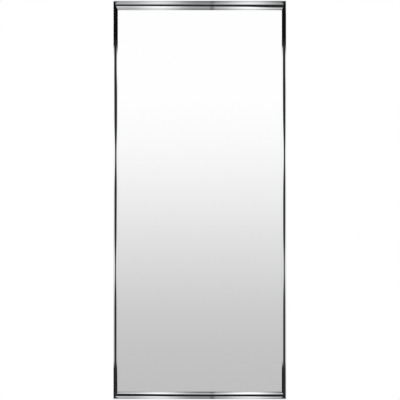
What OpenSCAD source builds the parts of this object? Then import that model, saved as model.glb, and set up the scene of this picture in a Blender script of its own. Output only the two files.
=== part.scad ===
// Tall rectangular wall mirror in a crowned, polished metal frame.
//
// The frame is four mitred extrusions with one shared section, stretched to three face widths.
// The mirror faces -Y, the wall is the plane y = 0 and +Z is up. The origin is on the wall, in
// the middle of the row of fixing holes of the wall bar that the mirror hangs on.

/* [Overall] */
// Width of the frame over its outer edges
mirror_w = 650; // [560:10:900]
// Height of the frame over its outer edges
mirror_h = 1500; // [600:10:2000]

/* [Frame face] */
// Face width of the top rail
top_face = 35.5; // [32:0.5:50]
// Face width of the bottom rail
bottom_face = 28.5; // [27:0.5:45]
// Face width of each stile
stile_face = 17; // [16:0.5:26]
// Where the crest lies, as a share of the face width from the outer edge
crest_share = 0.5; // [0.4:0.01:0.55]
// How far the face falls from the crest to its outer edge, before the edge is rolled
outer_fall = 4; // [2:0.25:5]
// How far the face falls from the crest to the glass, before the lip is rolled
inner_fall = 5; // [3.5:0.25:7]
// Extra drop that rounds the outer edge
outer_roll = 1.2; // [0.6:0.1:1.8]
// Extra drop that rounds the edge of the lip over the glass
inner_roll = 0.6; // [0.2:0.1:1]
// Flat strips that the curved face is made of, across its width
crown_steps = 48; // [24:4:72]

/* [Frame section] */
// Thickness of the extrusion's walls and webs
wall_t = 1.6; // [1.2:0.1:1.8]
// Thickness of the lip at its edge over the glass
lip_t = 1; // [0.8:0.1:1.6]
// Width of the corner key channel in a stile
channel_w = 10; // [9:0.5:11]
// Depth of the corner key channel
channel_h = 3.5; // [3.2:0.1:5]
// Width of the screw slot along the back of the channel
slot_w = 6; // [5.4:0.2:6.8]
// How far the frame covers the edge of the glass
glass_cover = 10.5; // [9.5:0.5:11]
// Play between the edge of the glass and the bottom of its groove
edge_play = 1.5; // [1:0.1:1.8]

/* [Glass and backing] */
// Thickness of the mirror glass
glass_t = 5; // [3:0.5:6]
// Thickness of the corrugated cardboard sheet behind the glass
sheet_t = 3; // [2:0.5:5]
// How far the cardboard sheet stays inside the edge of the glass
sheet_margin = 2; // [0:0.5:4]
// Thickness of the back panel
panel_t = 3; // [2:0.5:5]
// Thickness of the gasket strips between the lip and the glass
gasket_t = 0.8; // [0.5:0.1:1.5]
// Width of the gasket strips
gasket_w = 6.5; // [4:0.5:7]
// How far the gasket strips stay behind the edge of the lip
gasket_setback = 2.5; // [1.5:0.25:2.5]
// Length of the two blocks that the glass stands on
block_l = 60; // [30:5:80]
// Distance between the middles of the two blocks
block_spacing = 320; // [200:10:340]

/* [Corner keys] */
// Thickness of the corner keys
key_t = 3; // [2.5:0.1:3.1]
// Play between a corner key and the sides of its channel
key_play = 0.2; // [0.1:0.05:0.4]
// Reach of a key along the rail, from the outer corner
key_rail_reach = 50; // [45:1:80]
// Reach of a key along the stile, from the outer corner
key_stile_reach = 70; // [65:1:110]
// Radius of the set screws that lock the keys
set_screw_r = 2.4; // [1.8:0.1:2.6]
// Distance from a set screw to the end of the key's arm
set_screw_end = 10; // [6:0.5:12]
// Distance between the two set screws of an arm
set_screw_pitch = 15; // [8:0.5:16]
// Radius of the hexagon socket of a set screw, over its corners
socket_r = 1.3; // [0.8:0.1:1.5]
// Depth of that socket
socket_depth = 2; // [1:0.1:2.5]

/* [Hanging] */
// Thickness of the two hooked bars
bar_t = 2; // [1.5:0.1:3]
// Play on each side of the hooked tongues
hook_play = 0.3; // [0.2:0.05:0.5]
// Height of the flat plate of each bar
plate_h = 18; // [17:0.5:19]
// Height of the wall bar's tongue above its plate
tongue_h = 12; // [8:0.5:16]
// Length of the wall bar
wall_bar_l = 440; // [420:5:445]
// Length of the bar on the mirror
hanger_bar_l = 500; // [470:5:540]
// Radius of the wall bar's fixing holes
fixing_r = 2.75; // [2:0.25:4]
// Distance between the two outer fixing holes
outer_fixing_spacing = 380; // [300:10:390]
// Distance between the two inner fixing holes
inner_fixing_spacing = 130; // [80:10:200]
// Number of screws that hold the bar on the mirror
hanger_screw_count = 4; // [2:1:6]
// Distance between the outermost two of them
hanger_screw_span = 450; // [360:10:450]
// Radius of those screws
hanger_screw_r = 2; // [1.5:0.1:2.2]
// Radius of their heads
hanger_head_r = 3.2; // [2.8:0.1:3.3]
// Thickness of their heads in the middle
hanger_head_t = 1.7; // [1.5:0.1:2]
// Thickness of their heads at the rim
hanger_rim_t = 0.9; // [0.6:0.1:1.2]
// Width of the two crossed slots in a head
cross_slot_w = 0.8; // [0.5:0.1:1]
// Depth of those slots
cross_slot_depth = 0.8; // [0.5:0.1:1]
// How far those screws reach past the rail's back wall
hanger_screw_reach = 2.5; // [1:0.1:3]
// Play round those screws in the bar's holes
screw_play = 0.15; // [0.1:0.05:0.3]
// Gap left round a screw by the thread that it cuts or runs in
thread_play = 0.05; // [0.05:0.01:0.1]
// Radius of the wall bumpers
bumper_r = 6; // [4:0.25:6]
// Height of the bevel round the wall end of a bumper
bumper_bevel = 1.2; // [0.4:0.1:1.8]
// Distance from the side of the frame to the middle of each bumper
bumper_inset = 45; // [30:5:120]
// Distance from the screw slot to the edge of a bumper
bumper_setback = 1; // [0.5:0.25:1.5]

/* [Hidden] */

$fn = 48;
// Small overrun of a cutting shape past the face that it opens
cut = 1;
// Sharpness of the crown: 1 is a flat bevel up to the crest, 2 is a round arch
outer_sharpness = 1.5;
inner_sharpness = 1.25;
// The rolled edges take up only the last part of each flank
roll_sharpness = 12;

// Depths are counted forwards from the back face of the frame
floor_v = wall_t + channel_h + wall_t;
panel_v = floor_v;
sheet_v = panel_v + panel_t;
glass_v = sheet_v + sheet_t;
gasket_v = glass_v + glass_t;
groove_top_v = gasket_v + gasket_t;
lip_front_v = groove_top_v + lip_t;
crest_v = lip_front_v + inner_roll + inner_fall;

// The wall gap holds two tongues, one behind the other, with play round each
wall_gap = 2 * bar_t + 3 * hook_play;
hook_z = plate_h / 2 + tongue_h;
seat_z = hook_z + hook_play;
frame_mid_z = seat_z + top_face - mirror_h / 2;

groove_depth = glass_cover + edge_play;
glass_w = mirror_w - 2 * (stile_face - glass_cover);
glass_h = mirror_h - (top_face - glass_cover) - (bottom_face - glass_cover);
glass_mid_z = (bottom_face - top_face) / 2;
sight_w = mirror_w - 2 * stile_face;
// The key channel's inner side lies at one share of every face, so that it meets at the mitres
channel_share = (wall_t + channel_w) / stile_face;
// The hanger screws bite in the middle of the back wall beside the channel
hanger_screw_u = (channel_in(top_face) + top_face) / 2;
// The mirror's tongue ends short of the wall bar's web, so that the mirror hangs by its own web
hanger_tongue_h = tongue_h - bar_t / 2;

// Depth of the polished face at share s of the face width, from the outer edge to the glass
function crown_v(s) =
    s < crest_share
    ? crest_v - flank_drop((crest_share - s) / crest_share, outer_fall, outer_sharpness, outer_roll)
    : crest_v - flank_drop((s - crest_share) / (1 - crest_share), inner_fall, inner_sharpness, inner_roll);

// Drop below the crest at share t of a flank, from 0 at the crest to 1 at its edge
function flank_drop(t, fall, sharpness, roll) = fall * pow(t, sharpness) + roll * pow(t, roll_sharpness);

function channel_in(face) = channel_share * face;
function slot_u(face) = (wall_t + channel_in(face)) / 2;

// Outside of the section: u runs from the outer edge to the glass, v from the back to the front
module section_outline(face) {
    crown = [for (i = [0 : crown_steps]) [face * i / crown_steps, crown_v(i / crown_steps)]];
    polygon(concat([[0, 0]], crown, [[face, 0]]));
}

// Hollow under the crown and beside the groove
module crown_chamber(face) {
    intersection() {
        translate([0, -wall_t]) section_outline(face);
        union() {
            translate([wall_t, groove_top_v + wall_t]) square([face - 2 * wall_t, crest_v]);
            translate([wall_t, floor_v])
                square([face - groove_depth - 2 * wall_t, crest_v]);
        }
    }
}

// One section for every side of the frame
module section(face) {
    difference() {
        section_outline(face);
        crown_chamber(face);
        translate([face - groove_depth, floor_v])
            square([groove_depth + cut, groove_top_v - floor_v]);
        translate([wall_t, wall_t]) square([channel_in(face) - wall_t, channel_h]);
        translate([slot_u(face) - slot_w / 2, -cut]) square([slot_w, wall_t + 2 * cut]);
        translate([channel_in(face) + wall_t, wall_t])
            square([face - channel_in(face) - 2 * wall_t, channel_h]);
    }
}

// Stands a flat shape, drawn as X and Z, between two depths of the frame
module slab(v_back, v_front) {
    translate([0, -wall_gap - v_back, 0]) rotate([90, 0, 0])
        linear_extrude(v_front - v_back) children();
}

// Moves a shape from the frame's own middle to where the frame hangs
module hung() {
    translate([0, 0, frame_mid_z]) children();
}

// Part of the frame that one rail may fill, between its two mitres
module rail_mitres(face) {
    slab(-cut, crest_v + cut) polygon([
        [-mirror_w / 2, mirror_h / 2],
        [mirror_w / 2, mirror_h / 2],
        [sight_w / 2, mirror_h / 2 - face],
        [-sight_w / 2, mirror_h / 2 - face]
    ]);
}

// Rail along the top edge
module rail_bar(face) {
    intersection() {
        translate([0, -wall_gap, mirror_h / 2]) mirror([0, 1, 0]) rotate([0, 90, 0])
            linear_extrude(mirror_w, center = true) section(face);
        rail_mitres(face);
    }
}

// Stile along the left edge
module stile_bar() {
    intersection() {
        translate([-mirror_w / 2, -wall_gap, 0]) mirror([0, 1, 0])
            linear_extrude(mirror_h, center = true) section(stile_face);
        slab(-cut, crest_v + cut) polygon([
            [-mirror_w / 2, mirror_h / 2],
            [-sight_w / 2, mirror_h / 2 - top_face],
            [-sight_w / 2, bottom_face - mirror_h / 2],
            [-mirror_w / 2, -mirror_h / 2]
        ]);
    }
}

// Places of the screws along the bar on the mirror
module at_hanger_screws() {
    for (i = [0 : hanger_screw_count - 1])
        translate([
            (i / (hanger_screw_count - 1) - 0.5) * hanger_screw_span, 0, mirror_h / 2 - hanger_screw_u
        ]) children();
}

module top_rail() {
    color("silver") hung() difference() {
        rail_bar(top_face);
        at_hanger_screws() translate([0, cut - wall_gap, 0]) rotate([90, 0, 0])
            cylinder(r = hanger_screw_r + thread_play, h = wall_t + 2 * cut);
    }
}

module bottom_rail() {
    color("silver") hung() mirror([0, 0, 1]) rail_bar(bottom_face);
}

module left_stile() {
    color("silver") hung() stile_bar();
}

module right_stile() {
    color("silver") hung() mirror([1, 0, 0]) stile_bar();
}

// Puts a flat shape, drawn rightwards and upwards from a frame corner, at that corner
module at_corner(side, end) {
    translate([side * mirror_w / 2, end * mirror_h / 2])
        mirror([side > 0 ? 1 : 0, 0]) mirror([0, end > 0 ? 1 : 0]) children();
}

// Middles of a key's four set screws, from the frame corner
function set_screw_places(face) = [
    for (back = [0, set_screw_pitch]) each [
        [key_rail_reach - set_screw_end - back, slot_u(face)],
        [slot_u(stile_face), key_stile_reach - set_screw_end - back]
    ]
];

// Flat L-shaped key that fills the channels of a rail and a stile where they meet
module corner_key(side, end, face) {
    start = wall_t + key_play;
    color("lightsteelblue") hung() slab(wall_t, wall_t + key_t) at_corner(side, end) difference() {
        union() {
            translate([start, start])
                square([key_rail_reach - start, channel_in(face) - key_play - start]);
            translate([start, start])
                square([channel_in(stile_face) - key_play - start, key_stile_reach - start]);
        }
        for (place = set_screw_places(face)) translate(place) circle(r = set_screw_r + thread_play);
    }
}

// Set screws that pass through a key and press on the web in front of it
module set_screws(side, end, face) {
    color("dimgray") hung() {
        slab(wall_t + socket_depth, wall_t + channel_h) at_corner(side, end)
            for (place = set_screw_places(face)) translate(place) circle(r = set_screw_r);
        slab(wall_t, wall_t + socket_depth) at_corner(side, end)
            for (place = set_screw_places(face)) translate(place) difference() {
                circle(r = set_screw_r);
                circle(r = socket_r, $fn = 6);
            }
    }
}

module mirror_glass() {
    color("lightcyan") hung() slab(glass_v, gasket_v)
        translate([0, glass_mid_z]) square([glass_w, glass_h], center = true);
}

module cardboard_sheet() {
    color("tan") hung() slab(sheet_v, glass_v) translate([0, glass_mid_z])
        square([glass_w - 2 * sheet_margin, glass_h - 2 * sheet_margin], center = true);
}

module back_panel() {
    color("burlywood") hung() slab(panel_v, sheet_v)
        translate([0, glass_mid_z]) square([glass_w, glass_h], center = true);
}

// Blocks that the lower edge of the glass stands on, in the bottom rail's groove
module setting_blocks() {
    color("black") hung() slab(glass_v, gasket_v)
        for (side = [-1, 1])
            translate([side * block_spacing / 2, glass_mid_z - (glass_h + edge_play) / 2])
                square([block_l, edge_play], center = true);
}

// Gasket strip under a rail's lip: the upper one runs the full width of the glass opening
module rail_gasket(end, face) {
    strip_z = mirror_h / 2 - face + gasket_setback;
    color("black") hung() slab(gasket_v, groove_top_v) mirror([0, end > 0 ? 0 : 1])
        translate([-sight_w / 2 - gasket_setback - gasket_w, strip_z])
            square([sight_w + 2 * (gasket_setback + gasket_w), gasket_w]);
}

// Gasket strip under a stile's lip, between the two that run across
module stile_gasket(side) {
    low_z = bottom_face - mirror_h / 2 - gasket_setback;
    high_z = mirror_h / 2 - top_face + gasket_setback;
    color("black") hung() slab(gasket_v, groove_top_v) mirror([side > 0 ? 1 : 0, 0])
        translate([-sight_w / 2 - gasket_setback - gasket_w, low_z])
            square([gasket_w, high_z - low_z]);
}

// Section of a hooked bar, drawn as depth from its plate's face and height: a plate, a web
// at its upper edge and a tongue that stands up from the web, with room behind for another
module hook_section(tongue) {
    tongue_y = bar_t + 2 * hook_play;
    tip_r = bar_t / 2;
    square([bar_t, plate_h]);
    translate([0, plate_h - bar_t]) square([tongue_y + bar_t, bar_t]);
    translate([tongue_y, plate_h - bar_t]) square([bar_t, tongue + bar_t - tip_r]);
    translate([tongue_y + tip_r, plate_h + tongue - tip_r]) circle(r = tip_r);
}

// Lays a section, drawn as Y and Z, along X
module along_x(length) {
    rotate([90, 0, 90]) linear_extrude(length, center = true) children();
}

// Bar screwed to the wall: its plate is on the wall and its tongue stands up in front
module wall_bar() {
    color("silver") difference() {
        along_x(wall_bar_l) mirror([1, 0]) translate([0, -plate_h / 2]) hook_section(tongue_h);
        for (spacing = [outer_fixing_spacing, inner_fixing_spacing], side = [-1, 1])
            translate([side * spacing / 2, cut, 0]) rotate([90, 0, 0])
                cylinder(r = fixing_r, h = bar_t + 2 * cut);
    }
}

// Bar screwed to the top rail: the same section upside down, so its tongue hangs behind the other
module hanger_bar() {
    color("silver") difference() {
        translate([0, 0, seat_z]) along_x(hanger_bar_l)
            translate([-wall_gap, plate_h]) mirror([0, 1]) hook_section(hanger_tongue_h);
        hung() at_hanger_screws() translate([0, cut - wall_gap + bar_t, 0]) rotate([90, 0, 0])
            cylinder(r = hanger_screw_r + screw_play, h = bar_t + 2 * cut);
    }
}

// Domed head of a hanger screw, standing on its flat side
module pan_head() {
    rise = hanger_head_t - hanger_rim_t;
    dome_r = (pow(hanger_head_r, 2) + pow(rise, 2)) / (2 * rise);
    rotate_extrude() intersection() {
        square([hanger_head_r, hanger_head_t]);
        translate([0, hanger_head_t - dome_r]) circle(r = dome_r);
    }
}

// Pan-head screws through the bar into the rail's back wall
module hanger_screws() {
    color("dimgray") hung() at_hanger_screws() translate([0, bar_t - wall_gap, 0]) difference() {
        union() {
            rotate([-90, 0, 0]) pan_head();
            rotate([90, 0, 0]) cylinder(r = hanger_screw_r, h = bar_t + wall_t + hanger_screw_reach);
        }
        for (turn = [0, 90]) translate([0, hanger_head_t, 0]) rotate([0, turn, 0])
            cube([hanger_head_r, 2 * cross_slot_depth, cross_slot_w], center = true);
    }
}

// Soft stop that keeps the frame's lower end parallel to the wall
module bumper(side) {
    body_t = wall_gap - bumper_bevel;
    bumper_u = slot_u(bottom_face) + slot_w / 2 + bumper_setback + bumper_r;
    color("black") hung()
        translate([side * (mirror_w / 2 - bumper_inset), -wall_gap, bumper_u - mirror_h / 2])
            rotate([-90, 0, 0]) {
                cylinder(r = bumper_r, h = body_t);
                translate([0, 0, body_t])
                    cylinder(r1 = bumper_r, r2 = bumper_r - bumper_bevel, h = bumper_bevel);
            }
}

top_rail();
bottom_rail();
left_stile();
right_stile();
corner_key(-1, 1, top_face);  // top_left_key
corner_key(1, 1, top_face);  // top_right_key
corner_key(-1, -1, bottom_face);  // bottom_left_key
corner_key(1, -1, bottom_face);  // bottom_right_key
set_screws(-1, 1, top_face);  // top_left_set_screws
set_screws(1, 1, top_face);  // top_right_set_screws
set_screws(-1, -1, bottom_face);  // bottom_left_set_screws
set_screws(1, -1, bottom_face);  // bottom_right_set_screws
mirror_glass();
cardboard_sheet();
back_panel();
setting_blocks();
rail_gasket(1, top_face);  // top_gasket
rail_gasket(-1, bottom_face);  // bottom_gasket
stile_gasket(-1);  // left_gasket
stile_gasket(1);  // right_gasket
hanger_bar();
hanger_screws();
wall_bar();
bumper(-1);  // left_bumper
bumper(1);  // right_bumper
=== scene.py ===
"""Tall rectangular wall mirror in a crowned, polished metal frame.

Metres, in the frame of the CAD model: the mirror faces -Y, the wall is the plane y = 0, +Z is up.

The lights are written in short forms. A change is (from, to) or (from, to, level before, level
after), and a spot is (centre, reach). Along the frame both are in metres from the mirror's middle.
For the direction of a ray they are parts of its length, and its height is the part that goes up.
"""

import math

import bpy
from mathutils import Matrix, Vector
from mathutils.geometry import tessellate_polygon


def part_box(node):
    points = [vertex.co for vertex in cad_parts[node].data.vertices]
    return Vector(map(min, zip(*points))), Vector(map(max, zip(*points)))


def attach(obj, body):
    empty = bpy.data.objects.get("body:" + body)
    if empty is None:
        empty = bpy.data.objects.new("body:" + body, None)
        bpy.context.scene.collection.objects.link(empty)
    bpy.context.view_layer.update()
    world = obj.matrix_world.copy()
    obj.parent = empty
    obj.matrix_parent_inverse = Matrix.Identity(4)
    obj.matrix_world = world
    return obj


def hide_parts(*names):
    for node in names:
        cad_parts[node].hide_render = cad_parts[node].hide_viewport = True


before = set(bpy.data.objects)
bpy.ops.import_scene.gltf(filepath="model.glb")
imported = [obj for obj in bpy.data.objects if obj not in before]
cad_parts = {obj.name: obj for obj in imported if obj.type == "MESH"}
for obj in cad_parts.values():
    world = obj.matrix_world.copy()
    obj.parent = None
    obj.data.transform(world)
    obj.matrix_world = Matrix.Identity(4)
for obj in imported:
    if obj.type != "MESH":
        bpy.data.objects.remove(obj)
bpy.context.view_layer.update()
MM = 0.001

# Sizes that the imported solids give
top_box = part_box("top_rail")
bottom_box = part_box("bottom_rail")
stile_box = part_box("left_stile")
glass_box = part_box("mirror_glass")
panel_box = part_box("back_panel")
mirror_w = top_box[1].x - top_box[0].x
frame_top = top_box[1].z
frame_bottom = bottom_box[0].z
mirror_h = frame_top - frame_bottom
middle_z = (frame_top + frame_bottom) / 2
top_face = frame_top - top_box[0].z
bottom_face = bottom_box[1].z - frame_bottom
stile_face = stile_box[1].x - stile_box[0].x
back_y = top_box[1].y
crest_v = back_y - top_box[0].y
floor_v = back_y - panel_box[1].y
glass_front_v = back_y - glass_box[0].y

# Section of the frame, as the solids have it
crest_share = 0.5
outer_fall = 4 * MM
inner_fall = 5 * MM
outer_roll = 1.2 * MM
inner_roll = 0.6 * MM
outer_sharpness = 1.5
inner_sharpness = 1.25
roll_sharpness = 12
wall_t = 1.6 * MM
gasket_t = 0.8 * MM
channel_w = 10 * MM
channel_h = 3.5 * MM
slot_w = 6 * MM
glass_cover = 10.5 * MM
edge_play = 1.5 * MM
groove_depth = glass_cover + edge_play
groove_top_v = glass_front_v + gasket_t
channel_share = (wall_t + channel_w) / stile_face

# Finish of the swept frame members and of the glass
crown_steps = 96
length_steps = 24
edge_radius = 0.3 * MM
corner_steps = 4
mitre_gap = 0.04 * MM
glass_arris = 0.6 * MM
smooth_angle = math.radians(32)
same_point = 0.0001 * MM
side_tolerance = 0.2 * MM
depth_tolerance = 0.1 * MM

# Part of a face's normal along Y: a side face has less than the first, a flat face more than the second
side_limit = 0.5
flat_limit = 0.9

# Rounding of the CAD nodes' edges
weld_reach = 0.001 * MM
flat_angle = math.radians(0.5)
shortest_bevelled = 0.6 * MM
wide_bevel = 0.4 * MM
usual_bevel = 0.25 * MM
narrow_bevel = 0.2 * MM
screw_bevel = 0.1 * MM

# Camera: far away, so that the mirror shows as flat as in the photograph
camera_distance = 16
view_height = 1506.2 * MM
sensor = 36
camera_x = 0.65 * MM
camera_z = middle_z - 0.05 * MM
clip_near = 0.1
clip_far = 100

# Sky that the glass sees: where its horizon begins and ends, and the shades below and above it
horizon = (-0.0475, 0.0265)
sky_shades = (0.745, 0.994)
display_power = 2.2
silver_shine = 0.95
matt_light = 0.75

# Studio that the polish sees: where a ray's direction changes sides
left_to_right = (-0.1, 0.1)
lower_to_upper = (-0.3, 0.3)

# Softboxes below and above the mirror, along the rails; levels are for the lower and the upper one
left_spot = (-0.147, 0.08)
left_spot_levels = (0.52, 0.56)
right_spot = (0.185, 0.085)
right_spot_levels = (0.46, 0.66)
rail_base = (-0.12, -0.24, 0.19, 0.34)
right_fall = (0.2, 0.3, 0.0, 0.08)
lower_ends = (0.24, 0.31, 0.0, 0.08)
upper_change = -0.02
seam = (0.046, 0.007)
seam_depth = 0.6
seam_rise = (0.045, 0.06, 0.0, 0.06)
valley_fill = (0.01, 0.06)
valley_fill_height = (-0.4, -0.45, 0.0, 0.05)

# The same softboxes over the width of the rails, by height
rail_gain = 1.05
foot_gain = (0.22, 0.28, 0.5, 0.75)
foot_gain_reach = (0.14, 0.07)
upper_start = (0.45, 0.51, 0.77, 1.0)
upper_rise = (0.6, 0.66, 1.0, 1.22)
band_start = (0.52, 0.56)
band_end = (0.66, 0.62, 0.0, 0.15)
left_glow = (-0.2, -0.3)
left_glow_height = (0.56, 0.64, 0.0, 0.11)
overhead_fall = (0.78, 0.95, 1.0, 0.7)
rail_reach = (mirror_w / 2 + 35 * MM, mirror_w / 2 + 15 * MM)
rail_front = (0.0, -0.05)

# Softboxes to the left and right of the mirror, along the stiles
side_gain = 1.06
side_foot = (-0.635, -0.6)
far_right_foot = (0.9, 0.95, 0.0, 0.15)
left_end_sharp = (0.582, 0.57)
left_end_soft = (0.575, 0.53)
left_end_softness = 0.4
right_end = (0.59, 0.535)
right_back_fall = (0.0, 0.2, 0.0, 0.3)
stile_reach = (mirror_h / 2 + 40 * MM, mirror_h / 2 + 20 * MM)
stile_back = (0.8, 0.7)
right_roll_turn = (-0.05, 0.0)
right_roll_loss = (0.695, 0.72, 0.5, 1.0)

# Pale light from beyond the softboxes
far_shades = (-0.5, -0.2, 0.72, 0.85)
far_back = (0.1, 0.9, 1.0, 0.45)
far_overhead = (0.3, 0.7)

# Dark flag in front of the mirror; a notch's depths are for its left and its right side
flag_shades = (0.57, 0.62, 0.03, 0.006)
flag_left = (0.1, 0.45, 0.845, 0.88)
flag_right = (-0.35, 0.35, 0.845, 0.915)
flag_right_cut = (0.4, 0.5, 0.0, 0.04)
upper_notch = (0.17, 0.08)
upper_notch_depths = (0.15, 0.05)
lower_notch = (-0.26, 0.08)
lower_notch_depths = (0.135, 0.08)
flag_top = (-0.1, 0.15, 0.364, 0.331)
flag_foot = (-0.6, 0.6, -0.365, -0.484)
flag_foot_drop = (0.17, 0.27, 0.0, 0.032)
flag_side_blur = (-0.03, 0.03)
flag_row_blur = (-0.008, 0.008)
flag_front = (-0.1, 0.1)

# Cards near the mirror: x and z from its middle, y from the wall; a solid card lets no light through
card_reach = 0.5
card_black = 0.012
black_card_y = -3.8
black_card_foot = 0.45
black_card_top = [(0.5, 1.85), (0.2, 1.81), (0.06, 1.76), (-0.19, 1.95), (-0.5, 2.3)]
light_card_y = -5
light_card_z = (2.5, 3.3)
light_card_glow = 0.24
shade_y = -3
shade_split_x = 0.06
shade_z = (2.72, 5.6)
left_shade_solid = 0.3
right_shade_solid = 0.5
end_card_y = -2
end_card_glow = 0.02
left_end_x = (-0.6, -0.36)
right_end_x = (0.356, 0.6)
upper_end_z = (1.4, 2.6)
lower_end_z = (-2.7, -1.45)
foot_card_y = -2
foot_card = [(-0.3, -1.45), (0.34, -1.45), (0.34, -1.75), (-0.12, -1.75)]

# Floor under the mirror, and lamps round it
floor_radius = 3.2
floor_drop = 0.32
floor_steps = 64
floor_fade = (0.5 * floor_radius, 0.97 * floor_radius)
lamp_size = 1.6
key_lamp_place = (-2.2, -3.0, 1.6)
key_lamp_power = 60
back_lamp_place = (2.0, 2.8, 1.4)
back_lamp_power = 45

# Textures: noise that is equally fine each way, and the range that noise mostly keeps to
even = (1, 1, 1)
noise_range = (0.3, 0.7)
screen_pitch = 2 * MM
flute_pitch = 6.5 * MM


class Graph:
    """A node tree with short calls for the nodes that the materials use."""

    def __init__(self, tree):
        self.tree = tree
        tree.nodes.clear()

    def put(self, socket, value):
        """Links a socket to another, or sets it to a number or colour."""
        if isinstance(value, bpy.types.NodeSocket):
            self.tree.links.new(value, socket)
        elif value is not None:
            socket.default_value = value

    def node(self, kind, settings=None, **inputs):
        """New node; an input's name has _ in place of spaces."""
        node = self.tree.nodes.new(kind)
        for name, value in (settings or {}).items():
            setattr(node, name, value)
        for name, value in inputs.items():
            self.put(node.inputs[name.replace("_", " ")], value)
        return node

    def fill(self, node, *values):
        """Fills a node's first inputs, in their order, and gives the node."""
        for socket, value in zip(node.inputs, values):
            self.put(socket, value)
        return node

    def math(self, operation, *values):
        return self.fill(self.node("ShaderNodeMath", {"operation": operation}), *values).outputs[0]

    def plus(self, first, second):
        return self.math("ADD", first, second)

    def minus(self, first, second):
        return self.math("SUBTRACT", first, second)

    def times(self, first, second):
        return self.math("MULTIPLY", first, second)

    def larger(self, first, second):
        return self.math("MAXIMUM", first, second)

    def unsigned(self, value):
        return self.math("ABSOLUTE", value)

    def rest(self, share):
        """What a share leaves of 1."""
        return self.minus(1.0, share)

    def ramp(self, value, low, high, to_low=0.0, to_high=1.0):
        """Smooth step from to_low, where value is low, to to_high, where it is high."""
        node = self.node("ShaderNodeMapRange", {"interpolation_type": "SMOOTHSTEP"})
        return self.fill(node, value, low, high, to_low, to_high).outputs[0]

    def mix(self, factor, first, second):
        """Mixes two colours. The node's own colour sockets come after those of its other types."""
        node = self.node("ShaderNodeMix", {"data_type": "RGBA"}, Factor=factor)
        self.put(node.inputs[6], first)
        self.put(node.inputs[7], second)
        return node.outputs[2]

    def blend(self, factor, first, second):
        """Mixes two numbers."""
        node = self.node("ShaderNodeMix", {"data_type": "FLOAT"}, Factor=factor)
        self.put(node.inputs[2], first)
        self.put(node.inputs[3], second)
        return node.outputs[0]

    def noise(self, stretch, scale, detail=3.0, roughness=0.5):
        """Noise in object space; stretch is how much finer it is along X, Y and Z."""
        place = self.node("ShaderNodeTexCoord").outputs["Object"]
        place = self.node("ShaderNodeMapping", Vector=place, Scale=stretch).outputs[0]
        settings = {"Vector": place, "Scale": scale, "Detail": detail, "Roughness": roughness}
        return self.node("ShaderNodeTexNoise", **settings).outputs[0]

    def bump(self, height, strength, distance):
        return self.node("ShaderNodeBump", Height=height, Strength=strength, Distance=distance).outputs[0]

    def polish_ray(self):
        """1 for rays from the polish or from matt surfaces, and 0 for those from the sharp mirror."""
        return self.rest(self.node("ShaderNodeLightPath").outputs["Is Singular Ray"])


def new_material(name):
    material = bpy.data.materials.new(name)
    material.use_nodes = True
    return material, Graph(material.node_tree)


def surface(graph, **inputs):
    """Ends a material in one principled shader."""
    shader = graph.node("ShaderNodeBsdfPrincipled", **inputs)
    graph.node("ShaderNodeOutputMaterial", Surface=shader.outputs[0])


def rgb(red, green, blue):
    return (red, green, blue, 1)


def grey(level):
    return rgb(level, level, level)


def across(along, fineness):
    """Stretch for lines that run along one axis."""
    return [1 if axis == along else fineness for axis in "XYZ"]


def wave(graph, axis, pitch):
    """Sine wave across an axis of the object, from 0 to 1."""
    place = graph.node("ShaderNodeTexCoord").outputs["Object"]
    parts = graph.node("ShaderNodeSeparateXYZ", Vector=place)
    turns = graph.times(parts.outputs[axis], 2 * math.pi / pitch)
    return graph.math("MULTIPLY_ADD", graph.math("SINE", turns), 0.5, 0.5)


def polished_metal(name, along):
    """Bright polished face; along is the direction of the faint polishing lines."""
    material, graph = new_material(name)
    lines = graph.noise(across(along, 90), scale=12, detail=4)
    clouds = graph.noise(even, scale=9, detail=2)
    dark = rgb(0.882, 0.90, 0.922)
    light = rgb(0.91, 0.93, 0.952)
    surface(
        graph,
        Base_Color=graph.mix(graph.ramp(clouds, *noise_range), dark, light),
        Metallic=1.0,
        Roughness=graph.ramp(graph.blend(0.5, lines, clouds), *noise_range, 0.009, 0.012),
        Normal=graph.bump(lines, strength=0.05, distance=0.01 * MM),
    )
    return material


def mill_metal(name, along, shade):
    """Drawn metal, left as it came from the die, with fine lines along its length."""
    material, graph = new_material(name)
    lines = graph.noise(across(along, 150), scale=8, detail=5, roughness=0.65)
    clouds = graph.noise(even, scale=22, detail=3)
    dark = rgb(0.86 * shade, 0.87 * shade, 0.89 * shade)
    light = rgb(shade, shade, 1.01 * shade)
    surface(
        graph,
        Base_Color=graph.mix(graph.ramp(lines, 0.35, 0.65), dark, light),
        Metallic=1.0,
        Roughness=graph.ramp(clouds, *noise_range, 0.3, 0.42),
        Normal=graph.bump(lines, strength=0.25, distance=0.08 * MM),
    )
    return material


def cast_zinc():
    """Grainy grey casting."""
    material, graph = new_material("cast_zinc")
    grain = graph.noise(even, scale=900, detail=4, roughness=0.7)
    clouds = graph.noise(even, scale=60, detail=3)
    dark = rgb(0.26, 0.27, 0.29)
    light = rgb(0.38, 0.39, 0.41)
    surface(
        graph,
        Base_Color=graph.mix(clouds, dark, light),
        Metallic=1.0,
        Roughness=graph.ramp(grain, *noise_range, 0.42, 0.58),
        Normal=graph.bump(grain, strength=0.4, distance=0.1 * MM),
    )
    return material


def plated_steel():
    """Steel of the screws, with fine scratches."""
    material, graph = new_material("plated_steel")
    scratches = graph.noise((1, 1, 6), scale=700, detail=3, roughness=0.6)
    clouds = graph.noise(even, scale=140, detail=2)
    dark = rgb(0.36, 0.37, 0.39)
    light = rgb(0.5, 0.51, 0.53)
    surface(
        graph,
        Base_Color=graph.mix(clouds, dark, light),
        Metallic=1.0,
        Roughness=graph.ramp(scratches, *noise_range, 0.22, 0.38),
        Normal=graph.bump(scratches, strength=0.2, distance=0.04 * MM),
    )
    return material


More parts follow.
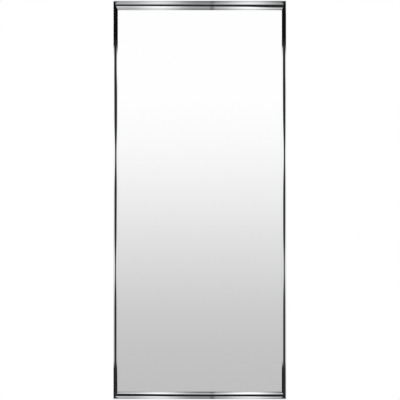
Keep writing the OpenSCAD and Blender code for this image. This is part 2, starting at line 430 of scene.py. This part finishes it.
def silvered_face():
    """Front of the glass: a sharp mirror with a trace of uneven silver."""
    material, graph = new_material("silvered_face")
    clouds = graph.noise(even, scale=3, detail=2)
    dark = rgb(0.944, 0.95, 0.947)
    light = rgb(0.954, 0.958, 0.956)
    surface(graph, Base_Color=graph.mix(clouds, dark, light), Metallic=1.0, Roughness=0.0)
    return material


def glass_edge():
    """Ground edge of the sheet of glass."""
    material, graph = new_material("glass_edge")
    ground = graph.noise(even, scale=600, detail=3)
    dark = rgb(0.10, 0.22, 0.18)
    light = rgb(0.24, 0.42, 0.36)
    surface(
        graph,
        Base_Color=graph.mix(ground, dark, light),
        Roughness=graph.ramp(ground, *noise_range, 0.18, 0.34),
        Normal=graph.bump(ground, strength=0.2, distance=0.1 * MM),
    )
    return material


def mirror_paint():
    """Grey paint that seals the silver on the back of the glass."""
    material, graph = new_material("mirror_paint")
    peel = graph.noise(even, scale=160, detail=2)
    streaks = graph.noise((14, 14, 1), scale=6, detail=3)
    dark = rgb(0.17, 0.185, 0.19)
    light = rgb(0.23, 0.245, 0.25)
    surface(
        graph,
        Base_Color=graph.mix(streaks, dark, light),
        Roughness=graph.ramp(peel, *noise_range, 0.42, 0.55),
        Normal=graph.bump(peel, strength=0.2, distance=0.2 * MM),
    )
    return material


def hardboard():
    """Pressed wood fibre with the print of the press screen on it."""
    material, graph = new_material("hardboard")
    fibre = graph.noise((1, 1, 2.2), scale=260, detail=6, roughness=0.7)
    flecks = graph.noise(even, scale=1100, detail=2)
    clumps = graph.noise((1, 1, 1.6), scale=150, detail=6, roughness=0.8)
    clouds = graph.noise(even, scale=12, detail=2)
    dark = rgb(0.19, 0.1, 0.048)
    brown = rgb(0.275, 0.155, 0.08)
    cloud_brown = rgb(0.30, 0.175, 0.09)
    fibre_tan = rgb(0.40, 0.25, 0.14)
    fleck_brown = rgb(0.09, 0.045, 0.02)
    base = graph.mix(graph.ramp(clumps, 0.35, 0.65), dark, brown)
    base = graph.mix(graph.ramp(clouds, *noise_range, 0.0, 0.12), base, cloud_brown)
    base = graph.mix(graph.ramp(fibre, 0.45, 0.75, 0.0, 0.55), base, fibre_tan)
    base = graph.mix(graph.ramp(flecks, 0.62, 0.72, 0.0, 0.5), base, fleck_brown)
    screen = graph.plus(wave(graph, "X", screen_pitch), wave(graph, "Z", screen_pitch))
    height = graph.plus(graph.times(screen, 0.25), fibre)
    surface(
        graph,
        Base_Color=base,
        Roughness=graph.ramp(fibre, *noise_range, 0.62, 0.8),
        Normal=graph.bump(height, strength=0.4, distance=0.2 * MM),
    )
    return material


def corrugated_card():
    """Brown paper over flutes that show through it as faint stripes."""
    material, graph = new_material("corrugated_card")
    fibre = graph.noise((1, 1, 5), scale=500, detail=4, roughness=0.7)
    flutes = wave(graph, "X", flute_pitch)
    dark = rgb(0.42, 0.28, 0.16)
    light = rgb(0.55, 0.39, 0.24)
    stripe = rgb(0.35, 0.23, 0.13)
    base = graph.mix(graph.ramp(fibre, *noise_range), dark, light)
    surface(
        graph,
        Base_Color=graph.mix(graph.times(flutes, 0.25), base, stripe),
        Roughness=graph.ramp(fibre, *noise_range, 0.8, 0.92),
        Normal=graph.bump(graph.blend(0.3, flutes, fibre), strength=0.3, distance=0.3 * MM),
    )
    return material


def rubber():
    """Black rubber with a little dust."""
    material, graph = new_material("rubber")
    grain = graph.noise(even, scale=1400, detail=3, roughness=0.6)
    dust = graph.noise(even, scale=90, detail=4, roughness=0.6)
    black = rgb(0.014, 0.014, 0.015)
    dusty = grey(0.05)
    surface(
        graph,
        Base_Color=graph.mix(graph.ramp(dust, 0.5, 0.8), black, dusty),
        Roughness=graph.ramp(grain, *noise_range, 0.55, 0.75),
        Normal=graph.bump(grain, strength=0.35, distance=0.1 * MM),
    )
    return material


def flank_drop(t, fall, sharpness, roll):
    """Drop below the crest at share t of a flank, from 0 at the crest to 1 at its edge."""
    return fall * t**sharpness + roll * t**roll_sharpness


def crown(s):
    """Height of the polished face over the frame's back, at share s of the width from its outer edge."""
    if s < crest_share:
        t = (crest_share - s) / crest_share
        return crest_v - flank_drop(t, outer_fall, outer_sharpness, outer_roll)
    t = (s - crest_share) / (1 - crest_share)
    return crest_v - flank_drop(t, inner_fall, inner_sharpness, inner_roll)


def rounded(corners):
    """A polygon with each of its corners rounded by a short curve."""
    points = []
    for i, corner in enumerate(corners):
        tip = Vector(corner)
        before = Vector(corners[i - 1]) - tip
        after = Vector(corners[(i + 1) % len(corners)]) - tip
        reach = min(edge_radius, before.length / 3, after.length / 3)
        start = tip + before.normalized() * reach
        end = tip + after.normalized() * reach
        for step in range(corner_steps + 1):
            t = step / corner_steps
            points.append(tuple((1 - t) ** 2 * start + 2 * t * (1 - t) * tip + t**2 * end))
    return points


def outer_loop(face):
    """Outside of the section, with the glass groove and the open key channel."""
    channel_in = channel_share * face
    slot_u = (wall_t + channel_in) / 2
    crown_points = [(face * i / crown_steps, crown(i / crown_steps)) for i in range(crown_steps + 1)]
    back = rounded([
        (face, groove_top_v),
        (face - groove_depth, groove_top_v),
        (face - groove_depth, floor_v),
        (face, floor_v),
        (face, 0),
        (slot_u + slot_w / 2, 0),
        (slot_u + slot_w / 2, wall_t),
        (channel_in, wall_t),
        (channel_in, wall_t + channel_h),
        (wall_t, wall_t + channel_h),
        (wall_t, wall_t),
        (slot_u - slot_w / 2, wall_t),
        (slot_u - slot_w / 2, 0),
        (0, 0),
    ])
    return crown_points + back


def crown_chamber(face):
    """Hollow under the crown and beside the groove."""
    shelf_v = groove_top_v + wall_t
    steps = range(crown_steps, -1, -1)
    arch = [(face * i / crown_steps, crown(i / crown_steps) - wall_t) for i in steps]
    arch = [(u, v) for u, v in arch if wall_t <= u <= face - wall_t and v > shelf_v]
    corner_u = face - groove_depth - wall_t
    shelf = [(wall_t, floor_v), (corner_u, floor_v), (corner_u, shelf_v), (arch[0][0], shelf_v)]
    return shelf + arch


def lower_chamber(face):
    """Hollow beside the key channel, behind the groove."""
    left = channel_share * face + wall_t
    right = face - wall_t
    top = wall_t + channel_h
    return [(left, wall_t), (right, wall_t), (right, top), (left, top)]


def mesh_object(name, vertices, faces):
    """Smooth mesh object with outward normals and sharp edges where its faces meet at an angle."""
    mesh = bpy.data.meshes.new(name)
    mesh.from_pydata(vertices, [], faces)
    piece = bpy.data.objects.new(name, mesh)
    bpy.context.scene.collection.objects.link(piece)
    bpy.context.view_layer.objects.active = piece
    bpy.ops.object.select_all(action="DESELECT")
    piece.select_set(True)
    bpy.ops.object.mode_set(mode="EDIT")
    bpy.ops.mesh.select_all(action="SELECT")
    bpy.ops.mesh.remove_doubles(threshold=same_point)
    bpy.ops.mesh.normals_make_consistent(inside=False)
    bpy.ops.object.mode_set(mode="OBJECT")
    bpy.ops.object.shade_smooth_by_angle(angle=smooth_angle)
    return piece


def side_point(side, u, v, share):
    """Point of a frame member: u from its outer edge, v from its back, share along its length."""
    if side in ("top", "bottom"):
        face = top_face if side == "top" else bottom_face
        reach = mirror_w / 2 - u * stile_face / face - mitre_gap
        z = frame_top - u if side == "top" else frame_bottom + u
        return (reach * (2 * share - 1), back_y - v, z)
    high = frame_top - u * top_face / stile_face - mitre_gap
    low = frame_bottom + u * bottom_face / stile_face + mitre_gap
    x = mirror_w / 2 - u
    return (-x if side == "left" else x, back_y - v, low + (high - low) * share)


def swept_member(name, side, face):
    """Frame member as one closed mesh: its section swept from mitre to mitre."""
    loops = [outer_loop(face), crown_chamber(face), lower_chamber(face)]
    vertices = []
    faces = []
    corners = []
    for loop in loops:
        start = len(vertices)
        count = len(loop)
        # Each point's first vertex, and how many vertices further its next copy along the member is
        corners += [(start + i, count) for i in range(count)]
        for step in range(length_steps + 1):
            vertices += [side_point(side, u, v, step / length_steps) for u, v in loop]
        for step in range(length_steps):
            near = start + step * count
            far = near + count
            for i in range(count):
                after = (i + 1) % count
                faces.append((near + i, near + after, far + after, far + i))
    flat = tessellate_polygon([[Vector((u, v, 0)) for u, v in loop] for loop in loops])
    for step in (0, length_steps):
        for triangle in flat:
            faces.append([corners[i][0] + step * corners[i][1] for i in triangle])
    return mesh_object(name, vertices, faces)


def is_outer_side(centre):
    """Whether a point lies on the frame's outermost faces."""
    return (
        abs(centre.x) > mirror_w / 2 - side_tolerance
        or centre.z > frame_top - side_tolerance
        or centre.z < frame_bottom + side_tolerance
    )


def finish_member(piece, along):
    """Polished material on the faces that are seen from the front or the side, drawn metal elsewhere."""
    piece.data.materials.append(polished_metal(piece.name + "_polish", along))
    piece.data.materials.append(mill_metal(piece.name + "_mill", along, shade=0.7))
    for polygon in piece.data.polygons:
        height = back_y - polygon.center.y
        is_behind = height < groove_top_v - depth_tolerance or polygon.normal.y > side_limit
        is_side = abs(polygon.normal.y) < side_limit and is_outer_side(polygon.center)
        polygon.material_index = 1 if is_behind and not is_side else 0


def build_frame():
    members = (
        ("top_rail", "top", top_face, "X"),
        ("bottom_rail", "bottom", bottom_face, "X"),
        ("left_stile", "left", stile_face, "Z"),
        ("right_stile", "right", stile_face, "Z"),
    )
    for node, side, face, along in members:
        piece = swept_member(node + "_polished", side, face)
        finish_member(piece, along)
        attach(piece, "mirror")
        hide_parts(node)


def glass_mesh():
    """Sheet with arrised edges: four rings of corners from the front to the back."""
    low, high = glass_box
    rings = (
        (low.y, glass_arris),
        (low.y + glass_arris, 0),
        (high.y - glass_arris, 0),
        (high.y, glass_arris),
    )
    vertices = []
    for y, inset in rings:
        left, right = low.x + inset, high.x - inset
        foot, top = low.z + inset, high.z - inset
        vertices += [(left, y, foot), (right, y, foot), (right, y, top), (left, y, top)]
    faces = [(0, 1, 2, 3), (15, 14, 13, 12)]
    for near in (0, 4, 8):
        for i in range(4):
            after = (i + 1) % 4
            faces.append((near + i, near + 4 + i, near + 4 + after, near + after))
    return mesh_object("glass_sheet", vertices, faces)


def glass_slot(normal):
    """Number of the material that a face of the glass gets: 0 in front, 1 behind, 2 at the edges."""
    if normal.y < -flat_limit:
        return 0
    return 1 if normal.y > flat_limit else 2


def build_glass():
    """Sheet of glass: silvered face, painted back and ground edges."""
    piece = glass_mesh()
    for material in (silvered_face(), mirror_paint(), glass_edge()):
        piece.data.materials.append(material)
    for polygon in piece.data.polygons:
        polygon.material_index = glass_slot(polygon.normal)
    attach(piece, "mirror")
    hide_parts("mirror_glass")


def greater(graph, first, second):
    compare = graph.node("FunctionNodeCompare", {"operation": "GREATER_THAN"}, A=first, B=second)
    return compare.outputs[0]


def long_edges(graph):
    """Picks the edges that are long enough for a bevel."""
    ends = graph.node("GeometryNodeInputMeshEdgeVertices")
    distance = graph.node("ShaderNodeVectorMath", {"operation": "DISTANCE"})
    graph.fill(distance, ends.outputs["Position 1"], ends.outputs["Position 2"])
    return greater(graph, distance.outputs["Value"], shortest_bevelled)


def edge_group():
    """Nodes that smooth a mesh between its sharp edges, and mark the long sharp ones for a bevel."""
    group = bpy.data.node_groups.new("mark_edges", "GeometryNodeTree")
    group.interface.new_socket("Geometry", in_out="INPUT", socket_type="NodeSocketGeometry")
    group.interface.new_socket("Geometry", in_out="OUTPUT", socket_type="NodeSocketGeometry")
    graph = Graph(group)
    given = graph.node("NodeGroupInput").outputs[0]
    plain = graph.node("GeometryNodeRemoveAttribute", Geometry=given, Name="custom_normal").outputs[0]
    smooth = graph.node("GeometryNodeSetShadeSmooth", {"domain": "FACE"}, Geometry=plain).outputs[0]
    angle = graph.node("GeometryNodeInputMeshEdgeAngle").outputs[0]
    sharp = greater(graph, angle, smooth_angle)
    creased = graph.node(
        "GeometryNodeSetShadeSmooth",
        {"domain": "EDGE"},
        Geometry=smooth,
        Selection=sharp,
        Shade_Smooth=False,
    ).outputs[0]
    both = graph.fill(graph.node("FunctionNodeBooleanMath"), sharp, long_edges(graph))
    marked = graph.node(
        "GeometryNodeStoreNamedAttribute",
        {"data_type": "FLOAT", "domain": "EDGE"},
        Geometry=creased,
        Name="bevel_weight_edge",
        Value=both.outputs[0],
    ).outputs[0]
    graph.fill(graph.node("NodeGroupOutput"), marked)
    return group


def soften(piece, marks, radius):
    """Rounds the long edges of a CAD node's shown mesh a little."""
    piece.modifiers.new("weld", "WELD").merge_threshold = weld_reach
    flat = piece.modifiers.new("flat", "DECIMATE")
    flat.decimate_type = "DISSOLVE"
    flat.angle_limit = flat_angle
    piece.modifiers.new("marks", "NODES").node_group = marks
    bevel = piece.modifiers.new("bevel", "BEVEL")
    bevel.limit_method = "WEIGHT"
    bevel.width = radius
    bevel.segments = 2
    bevel.loop_slide = False
    bevel.use_clamp_overlap = False
    piece.modifiers.new("tidy", "WELD").merge_threshold = weld_reach
    piece.modifiers.new("normals", "WEIGHTED_NORMAL").keep_sharp = True


def dress(nodes, material, marks, radius):
    """Gives CAD nodes a material and slightly rounded edges."""
    for node in nodes:
        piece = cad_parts[node]
        piece.data.materials.clear()
        piece.data.materials.append(material)
        soften(piece, marks, radius)


def dress_solids():
    corners = ("top_left", "top_right", "bottom_left", "bottom_right")
    sides = ("top", "bottom", "left", "right")
    steel = plated_steel()
    black = rubber()
    bar_metal = mill_metal("drawn_bar", "X", shade=0.86)
    marks = edge_group()
    dress([corner + "_key" for corner in corners], cast_zinc(), marks, usual_bevel)
    dress([corner + "_set_screws" for corner in corners], steel, marks, screw_bevel)
    dress(["hanger_screws"], steel, marks, screw_bevel)
    dress(["hanger_bar", "wall_bar"], bar_metal, marks, usual_bevel)
    dress(["back_panel"], hardboard(), marks, wide_bevel)
    dress(["cardboard_sheet"], corrugated_card(), marks, wide_bevel)
    dress([side + "_gasket" for side in sides], black, marks, narrow_bevel)
    dress(["setting_blocks", "left_bumper", "right_bumper"], black, marks, usual_bevel)


def plain_sky(graph, height):
    """What the mirror sees: grey below the horizon and white above, as a number."""
    shade = graph.ramp(height, *horizon, *sky_shades)
    return graph.math("DIVIDE", graph.math("POWER", shade, display_power), silver_shine)


def lobe(graph, value, centre, reach):
    """Soft spot round a centre, from 0 to 1."""
    offset = graph.math("DIVIDE", graph.minus(value, centre), reach)
    return graph.math("POWER", math.e, graph.times(graph.times(offset, offset), -1.0))


def along_rail(graph, x, height, upper):
    """Light of the lower and the upper softbox along a rail: two bright spots with a seam between."""
    level = graph.times(lobe(graph, x, *left_spot), graph.blend(upper, *left_spot_levels))
    right_level = graph.blend(upper, *right_spot_levels)
    level = graph.math("MULTIPLY_ADD", lobe(graph, x, *right_spot), right_level, level)
    ends = graph.ramp(graph.unsigned(x), *lower_ends)
    level = graph.plus(level, graph.blend(upper, ends, upper_change))
    level = graph.plus(level, graph.ramp(x, *rail_base))
    level = graph.minus(level, graph.ramp(x, *right_fall))
    level = graph.plus(level, graph.ramp(x, *seam_rise))
    valley_light = graph.times(lobe(graph, x, *valley_fill), graph.ramp(height, *valley_fill_height))
    level = graph.plus(level, valley_light)
    seam_shade = graph.times(lobe(graph, x, *seam), seam_depth)
    return graph.times(level, graph.rest(seam_shade))


def rail_light(graph, x, height, below_flag):
    """Softboxes above and below the mirror, seen in the rails.

    x is the place along a rail, and below_flag is how far the ray passes under the flag's foot.
    """
    upper = graph.ramp(height, *lower_to_upper)
    lower = graph.rest(upper)
    level = along_rail(graph, x, height, upper)
    foot = graph.times(graph.ramp(below_flag, *foot_gain_reach), lower)
    foot = graph.times(foot, graph.ramp(x, *foot_gain))
    level = graph.times(level, graph.plus(rail_gain, foot))
    level = graph.times(level, graph.larger(graph.ramp(height, *upper_start), lower))
    level = graph.times(level, graph.ramp(height, *upper_rise))
    band = graph.times(graph.ramp(height, *band_start), graph.ramp(height, *band_end))
    level = graph.plus(level, band)
    glow = graph.times(graph.ramp(x, *left_glow), graph.ramp(height, *left_glow_height))
    level = graph.plus(level, glow)
    return graph.times(level, graph.ramp(height, *overhead_fall))


def stile_light(graph, x, y, z, right, tone):
    """Softboxes to the left and right, seen in the stiles; they end short of the corners."""
    foot = graph.ramp(graph.plus(z, graph.ramp(x, *far_right_foot)), *side_foot)
    left_top = graph.blend(
        left_end_softness, graph.ramp(z, *left_end_sharp), graph.ramp(z, *left_end_soft)
    )
    top = graph.blend(right, left_top, graph.ramp(z, *right_end))
    level = graph.times(graph.times(foot, top), graph.times(tone, side_gain))
    back_loss = graph.times(graph.ramp(y, *right_back_fall), right)
    return graph.times(level, graph.rest(back_loss))


def stile_share(graph, y, z, right):
    """Where the stiles show their softboxes and not the far light; the right one's roll shows less."""
    share = graph.times(graph.ramp(graph.unsigned(z), *stile_reach), graph.ramp(y, *stile_back))
    roll = graph.times(graph.ramp(y, *right_roll_turn), right)
    roll = graph.times(roll, graph.ramp(z, *right_roll_loss))
    return graph.times(share, graph.rest(roll))


def far_light(graph, y, height):
    """Pale light from beyond the softboxes: darker below and behind, and white overhead."""
    level = graph.times(graph.ramp(height, *far_shades), graph.ramp(y, *far_back))
    return graph.larger(level, graph.ramp(height, *far_overhead))


def flag_edge(graph, z, right):
    """How far the dark flag reaches to the left and to the right, with two soft notches."""
    right_edge = graph.minus(graph.ramp(z, *flag_right), graph.ramp(z, *flag_right_cut))
    edge = graph.blend(right, graph.ramp(z, *flag_left), right_edge)
    for notch, depths in ((upper_notch, upper_notch_depths), (lower_notch, lower_notch_depths)):
        edge = graph.minus(edge, graph.times(lobe(graph, z, *notch), graph.blend(right, *depths)))
    return edge


def studio(graph, parts, tone):
    """What the polished frame sees: a dark flag in front, softboxes round it, pale light beyond.

    A rail keeps the sideways part of a ray that it reflects, and a stile the upward part. Times the
    camera's distance, that part is the place along the rail or stile that the front view shows.
    """
    x, y, height = parts.outputs
    right = graph.ramp(x, *left_to_right)
    along_x = graph.times(x, camera_distance)
    along_z = graph.times(height, camera_distance)
    side = stile_light(graph, x, y, along_z, right, tone)
    lights = graph.blend(stile_share(graph, y, along_z, right), far_light(graph, y, height), side)
    foot = graph.minus(graph.ramp(along_x, *flag_foot), graph.ramp(along_x, *flag_foot_drop))
    below_flag = graph.minus(foot, height)
    above_flag = graph.minus(height, graph.ramp(along_x, *flag_top))
    beside_flag = graph.minus(graph.unsigned(x), flag_edge(graph, along_z, right))
    rail_share = graph.times(graph.ramp(graph.unsigned(along_x), *rail_reach), graph.ramp(y, *rail_front))
    lights = graph.blend(rail_share, lights, rail_light(graph, along_x, height, below_flag))
    lit = graph.ramp(beside_flag, *flag_side_blur)
    lit = graph.larger(lit, graph.ramp(above_flag, *flag_row_blur))
    lit = graph.larger(lit, graph.ramp(below_flag, *flag_row_blur))
    lit = graph.larger(lit, graph.ramp(y, *flag_front))
    return graph.blend(lit, graph.ramp(along_z, *flag_shades), lights)


def build_world():
    """White to the camera, plain to matt surfaces, and a studio to the polished metal."""
    world = bpy.data.worlds.new("studio")
    bpy.context.scene.world = world
    world.use_nodes = True
    graph = Graph(world.node_tree)
    direction = graph.node("ShaderNodeTexCoord").outputs["Generated"]
    parts = graph.node("ShaderNodeSeparateXYZ", Vector=direction)
    path = graph.node("ShaderNodeLightPath")
    tone = plain_sky(graph, parts.outputs["Z"])
    seen = graph.larger(path.outputs["Is Glossy Ray"], path.outputs["Is Transmission Ray"])
    level = graph.blend(graph.polish_ray(), tone, studio(graph, parts, tone))
    level = graph.blend(seen, matt_light, level)
    level = graph.blend(path.outputs["Is Camera Ray"], level, 1.0)
    background = graph.node("ShaderNodeBackground", Color=grey(1), Strength=level)
    graph.node("ShaderNodeOutputWorld", Surface=background.outputs[0])


def upright(x_range, z_range):
    """Corners of a rectangle, as x and z."""
    left, right = x_range
    low, high = z_range
    return [(left, low), (right, low), (right, high), (left, high)]


def card_material(name, glow, solid):
    """Glows and shades for the polish, and lets everything else through."""
    material, graph = new_material(name)
    polish = graph.polish_ray()
    light = graph.node("ShaderNodeEmission", Color=grey(1), Strength=graph.times(polish, glow))
    through = graph.mix(graph.times(polish, solid), grey(1), grey(0))
    clear = graph.node("ShaderNodeBsdfTransparent", Color=through)
    both = graph.fill(graph.node("ShaderNodeAddShader"), light.outputs[0], clear.outputs[0])
    graph.node("ShaderNodeOutputMaterial", Surface=both.outputs[0])
    return material


def build_card(name, y, outline, glow, solid):
    """Upright card with an outline of x and z from the mirror's middle; only the polish sees it."""
    mesh = bpy.data.meshes.new(name)
    mesh.from_pydata([(x, y, middle_z + z) for x, z in outline], [], [range(len(outline))])
    card = bpy.data.objects.new(name, mesh)
    bpy.context.scene.collection.objects.link(card)
    card.data.materials.append(card_material(name, glow, solid))
    card.visible_camera = False
    card.visible_diffuse = False
    card.visible_shadow = False


def build_cards():
    """Cards near the mirror. Each rail sees them at another height, so they set the two rails apart."""
    wide = (-card_reach, card_reach)
    black_card = [(x, black_card_foot) for x in wide] + black_card_top
    build_card("black_card", black_card_y, black_card, card_black, 1.0)
    build_card("light_card", light_card_y, upright(wide, light_card_z), light_card_glow, 0.0)
    left_shade = upright((-card_reach, shade_split_x), shade_z)
    right_shade = upright((shade_split_x, card_reach), shade_z)
    build_card("left_shade", shade_y, left_shade, 0.0, left_shade_solid)
    build_card("right_shade", shade_y, right_shade, 0.0, right_shade_solid)
    for row, z_range in (("upper", upper_end_z), ("lower", lower_end_z)):
        for side, x_range in (("left", left_end_x), ("right", right_end_x)):
            outline = upright(x_range, z_range)
            build_card(f"{row}_{side}_end", end_card_y, outline, end_card_glow, 1.0)
    build_card("foot_card", foot_card_y, foot_card, card_black, 1.0)


def floor_material():
    """Pale paint that fades out at the rim; the polish and a view from below see through it."""
    material, graph = new_material("pale_floor")
    place = graph.node("ShaderNodeTexCoord").outputs["Object"]
    flat = graph.fill(graph.node("ShaderNodeVectorMath", {"operation": "MULTIPLY"}), place, (1, 1, 0))
    away = graph.fill(graph.node("ShaderNodeVectorMath", {"operation": "LENGTH"}), flat.outputs[0])
    fade = graph.ramp(away.outputs["Value"], *floor_fade)
    path = graph.node("ShaderNodeLightPath")
    hidden = graph.times(path.outputs["Is Glossy Ray"], graph.polish_ray())
    hidden = graph.larger(hidden, graph.node("ShaderNodeNewGeometry").outputs["Backfacing"])
    speckle = graph.noise(even, scale=40, detail=3)
    paint = graph.node("ShaderNodeBsdfDiffuse", Color=graph.mix(speckle, grey(0.86), grey(0.9)))
    clear = graph.node("ShaderNodeBsdfTransparent")
    mixed = graph.node("ShaderNodeMixShader")
    graph.fill(mixed, graph.larger(fade, hidden), paint.outputs[0], clear.outputs[0])
    graph.node("ShaderNodeOutputMaterial", Surface=mixed.outputs[0])
    return material


def build_floor():
    """Round floor under the mirror."""
    turns = [2 * math.pi * i / floor_steps for i in range(floor_steps)]
    z = frame_bottom - floor_drop
    rim = [(floor_radius * math.cos(turn), floor_radius * math.sin(turn), z) for turn in turns]
    mesh = bpy.data.meshes.new("floor")
    mesh.from_pydata(rim, [], [range(floor_steps)])
    floor = bpy.data.objects.new("floor", mesh)
    bpy.context.scene.collection.objects.link(floor)
    floor.data.materials.append(floor_material())


def build_lamp(name, place, power):
    """Soft lamp that points at the middle of the mirror; polished metal doesn't show it."""
    lamp = bpy.data.lights.new(name, "AREA")
    lamp.shape = "SQUARE"
    lamp.size = lamp_size
    lamp.energy = power
    lamp_object = bpy.data.objects.new(name, lamp)
    bpy.context.scene.collection.objects.link(lamp_object)
    lamp_object.location = place
    aim = Vector((0, 0, middle_z)) - Vector(place)
    lamp_object.rotation_euler = aim.to_track_quat("-Z", "Y").to_euler()
    lamp_object.visible_glossy = False
    lamp_object.visible_camera = False


def build_camera():
    camera = bpy.data.cameras.new("camera")
    camera.sensor_width = sensor
    camera.lens = sensor * camera_distance / view_height
    camera.clip_start = clip_near
    camera.clip_end = clip_far
    camera_object = bpy.data.objects.new("camera", camera)
    bpy.context.scene.collection.objects.link(camera_object)
    camera_object.location = (camera_x, (top_box[0].y + back_y) / 2 - camera_distance, camera_z)
    camera_object.rotation_euler = (math.pi / 2, 0, 0)
    bpy.context.scene.camera = camera_object


build_frame()
build_glass()
dress_solids()
build_world()
build_cards()
build_floor()
build_lamp("key_lamp", key_lamp_place, key_lamp_power)
build_lamp("back_lamp", back_lamp_place, back_lamp_power)
build_camera()
bpy.context.scene.view_settings.view_transform = "Standard"
